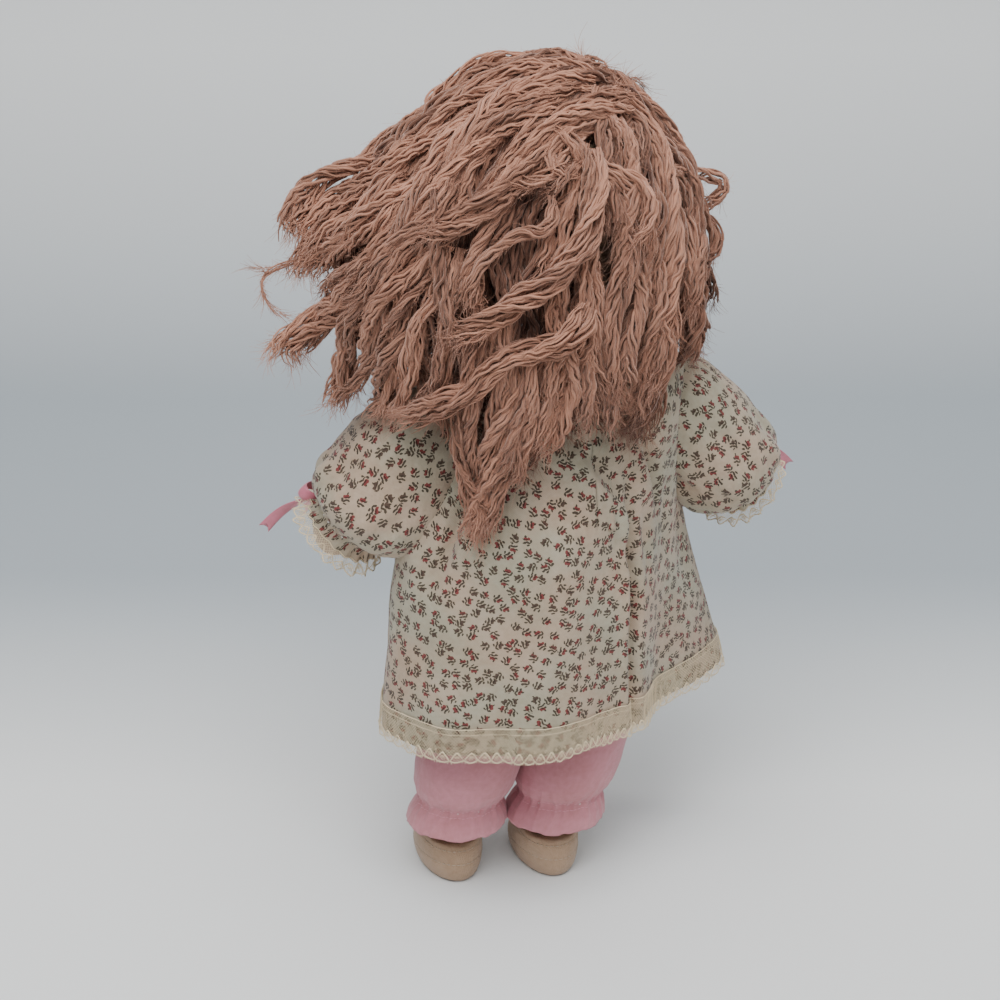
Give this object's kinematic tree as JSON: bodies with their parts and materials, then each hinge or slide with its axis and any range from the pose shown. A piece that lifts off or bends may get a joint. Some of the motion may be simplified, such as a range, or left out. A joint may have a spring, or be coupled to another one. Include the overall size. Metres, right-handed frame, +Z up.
{
  "type": "rag doll",
  "caption": "Standing stuffed cloth doll with turning neck, nodding head, hinged arms and legs, long yarn hair, calico dress, lace trims, ribbon bows and gathered bloomers.",
  "frame": {"origin": "on the ground, at the middle of the doll's footprint box", "axes": "+Z up, the doll faces -Y, its left side is +X"},
  "size_m": [0.24, 0.1052, 0.3501],
  "materials": {
    "muslin": "matte woven cotton, stuffed",
    "calico": "matte printed cotton",
    "bloomer_cotton": "matte pink cotton",
    "lace_thread": "matte cotton lace",
    "satin_ribbon": "satin weave, soft sheen",
    "yarn": "fuzzy wool yarn",
    "face_thread": "stranded embroidery thread",
    "mouth_thread": "stranded embroidery thread",
    "elastic_rubber": "covered elastic",
    "snap_metal": "pressed snap fastener"
  },
  "bodies": {
    "torso": {"torso": "muslin", "bloomers_seat": "bloomer_cotton", "waist_elastic": "elastic_rubber", "dress_front": "calico", "dress_back": "calico", "back_placket": "calico", "back_snap_socket": "snap_metal", "back_snap_stud": "snap_metal", "hem_lace": "lace_thread", "neck_lace": "lace_thread", "neck_elastic": "elastic_rubber"},
    "neck": {"neck": "muslin"},
    "head": {"head": "muslin", "eye_left": "face_thread", "eye_right": "face_thread", "nose": "mouth_thread", "mouth": "mouth_thread", "hair_part_tape": "muslin", "hair_left": "yarn", "hair_back_left": "yarn", "hair_long_lock": "yarn", "hair_back": "yarn", "hair_back_right": "yarn", "hair_right": "yarn", "hair_fringe": "yarn"},
    "arm_left": {"arm_left": "muslin", "sleeve_left": "calico", "cuff_elastic_left": "elastic_rubber", "cuff_lace_left": "lace_thread", "cuff_bow_left": "satin_ribbon"},
    "leg_left": {"leg_left": "muslin", "foot_left": "muslin", "bloomer_leg_left": "bloomer_cotton", "ankle_elastic_left": "elastic_rubber"},
    "arm_right": {"arm_right": "muslin", "sleeve_right": "calico", "cuff_elastic_right": "elastic_rubber", "cuff_lace_right": "lace_thread", "cuff_bow_right": "satin_ribbon"},
    "leg_right": {"leg_right": "muslin", "foot_right": "muslin", "bloomer_leg_right": "bloomer_cotton", "ankle_elastic_right": "elastic_rubber"}
  },
  "joints": [
    {"name": "neck_turn", "type": "hinge", "parent": "torso", "child": "neck", "pos_m": [0, -0.007, 0.25], "axis": [0, 0, 1], "range_deg": [-30, 30], "deforming": ["hair_left", "hair_back_left", "hair_long_lock", "hair_back", "hair_back_right", "hair_right", "hair_fringe", "dress_front", "dress_back", "neck_lace"]},
    {"name": "head_nod", "type": "hinge", "parent": "neck", "child": "head", "pos_m": [0, -0.007, 0.25], "axis": [1, 0, 0], "range_deg": [-20, 25], "deforming": ["hair_left", "hair_back_left", "hair_long_lock", "hair_back", "hair_back_right", "hair_right", "hair_fringe", "dress_front", "dress_back", "neck_lace"]},
    {"name": "shoulder_left", "type": "hinge", "parent": "torso", "child": "arm_left", "pos_m": [0.041, -0.007, 0.218], "axis": [0, -1, 0], "range_deg": [-15, 75], "deforming": ["sleeve_left", "dress_front", "dress_back", "hair_left"]},
    {"name": "shoulder_right", "type": "hinge", "parent": "torso", "child": "arm_right", "pos_m": [-0.041, -0.007, 0.218], "axis": [0, 1, 0], "range_deg": [-15, 75], "deforming": ["sleeve_right", "dress_front", "dress_back", "hair_right"]},
    {"name": "hip_left", "type": "hinge", "parent": "torso", "child": "leg_left", "pos_m": [0.0245, -0.007, 0.12], "axis": [-1, 0, 0], "range_deg": [-20, 80], "deforming": ["bloomer_leg_left", "dress_front", "dress_back", "hem_lace", "bloomers_seat"]},
    {"name": "hip_right", "type": "hinge", "parent": "torso", "child": "leg_right", "pos_m": [-0.0245, -0.007, 0.12], "axis": [-1, 0, 0], "range_deg": [-20, 80], "deforming": ["bloomer_leg_right", "dress_front", "dress_back", "hem_lace", "bloomers_seat"]}
  ]
}
